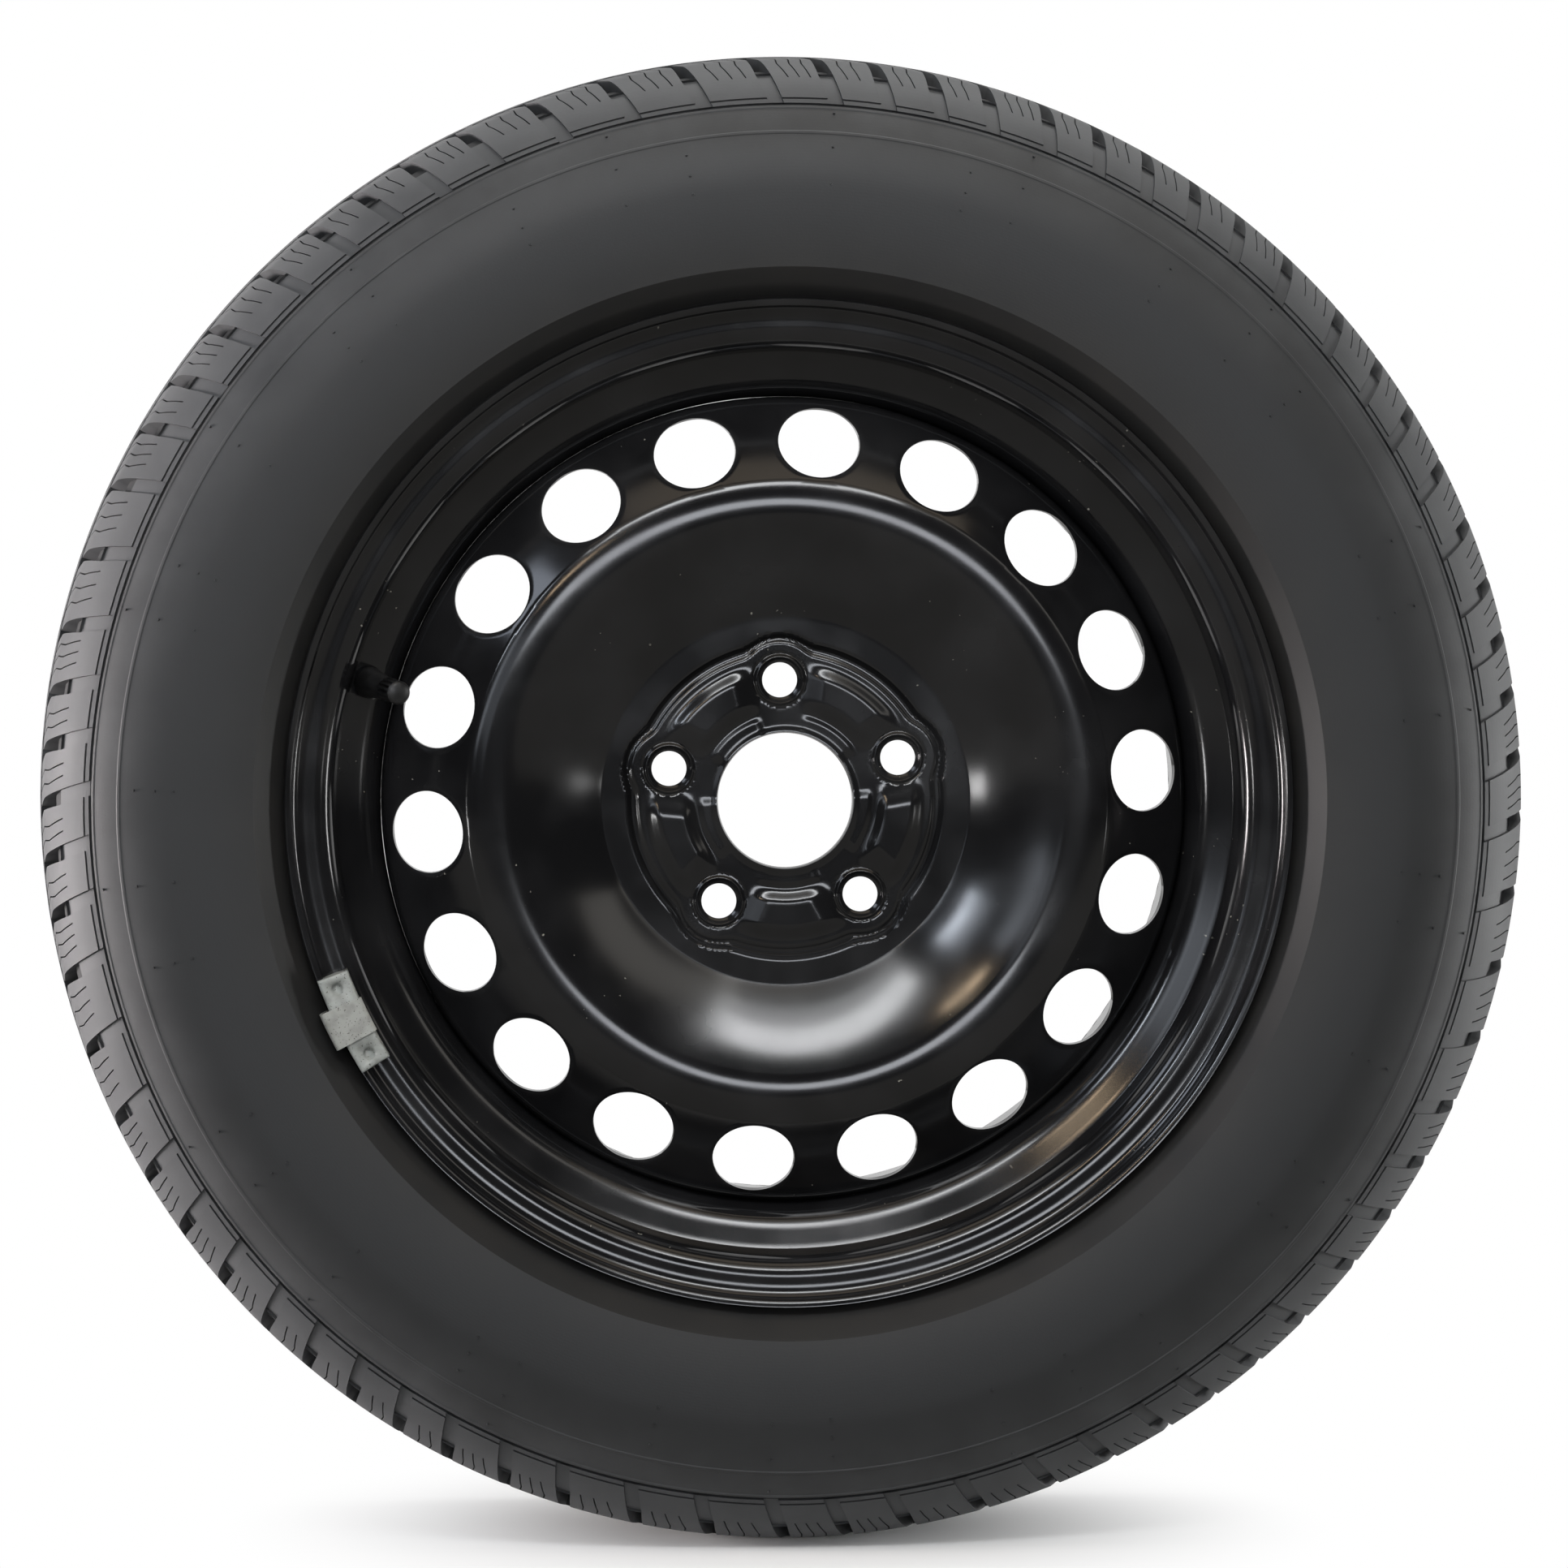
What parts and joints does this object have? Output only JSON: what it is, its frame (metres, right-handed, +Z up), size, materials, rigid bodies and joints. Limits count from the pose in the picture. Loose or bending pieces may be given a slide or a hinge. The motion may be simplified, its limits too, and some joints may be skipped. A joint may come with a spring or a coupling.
{
  "type": "car wheel and tyre",
  "caption": "Black pressed-steel car wheel with a mounted winter tyre, a snap-in rubber valve with a screw cap, and a clip-on balance weight.",
  "frame": {"origin": "on the spin axis, midway between the two rim flanges", "axes": "+Y along the spin axis towards the vehicle, -Y out of the road-side face, +Z up as in the picture"},
  "size_m": [0.6179, 0.189, 0.6179],
  "materials": {
    "tyre_rubber": "dusty matte",
    "black_paint": "gloss",
    "weld_paint": "gloss",
    "valve_rubber": "satin",
    "valve_brass": "turned",
    "seal_rubber": "matte",
    "spring_steel": "bright",
    "cap_plastic": "matte",
    "weight_coating": "satin",
    "clip_coating": "satin"
  },
  "bodies": {
    "wheel": {"tyre": "tyre_rubber", "rim": "black_paint", "wheel_disc": "black_paint", "disc_welds": "weld_paint", "valve_body": "valve_rubber", "valve_stem": "valve_brass", "core_barrel": "valve_brass", "core_packing_ring": "seal_rubber", "core_spring": "spring_steel", "balance_weight": "weight_coating", "weight_clip": "clip_coating"},
    "valve_pin": {"core_pin": "valve_brass", "core_seal_cup": "seal_rubber"},
    "cap_washer": {"cap_seal": "seal_rubber"},
    "cap": {"valve_cap": "cap_plastic"}
  },
  "joints": [
    {"name": "pin_press", "type": "slide", "parent": "wheel", "child": "valve_pin", "axis": [-0.3566, 0.9287, 0.1022], "range_m": [0, 0.0012], "stiffness_N_per_m": 1200, "springref_m": -0.001, "deforming": ["core_spring"]},
    {"name": "cap_lift", "type": "slide", "parent": "wheel", "child": "cap_washer", "axis": [0.3566, -0.9287, -0.1022], "range_m": [0, 0.00635]},
    {"name": "cap_turn", "type": "hinge", "parent": "cap_washer", "child": "cap", "pos_m": [-0.17242, -0.04504, 0.04944], "axis": [0.3566, -0.9287, -0.1022], "range_deg": [0, 2880]}
  ],
  "couplings": [
    {"joint": "cap_turn", "follows": "cap_lift", "rad_per_m": 7915.8}
  ]
}
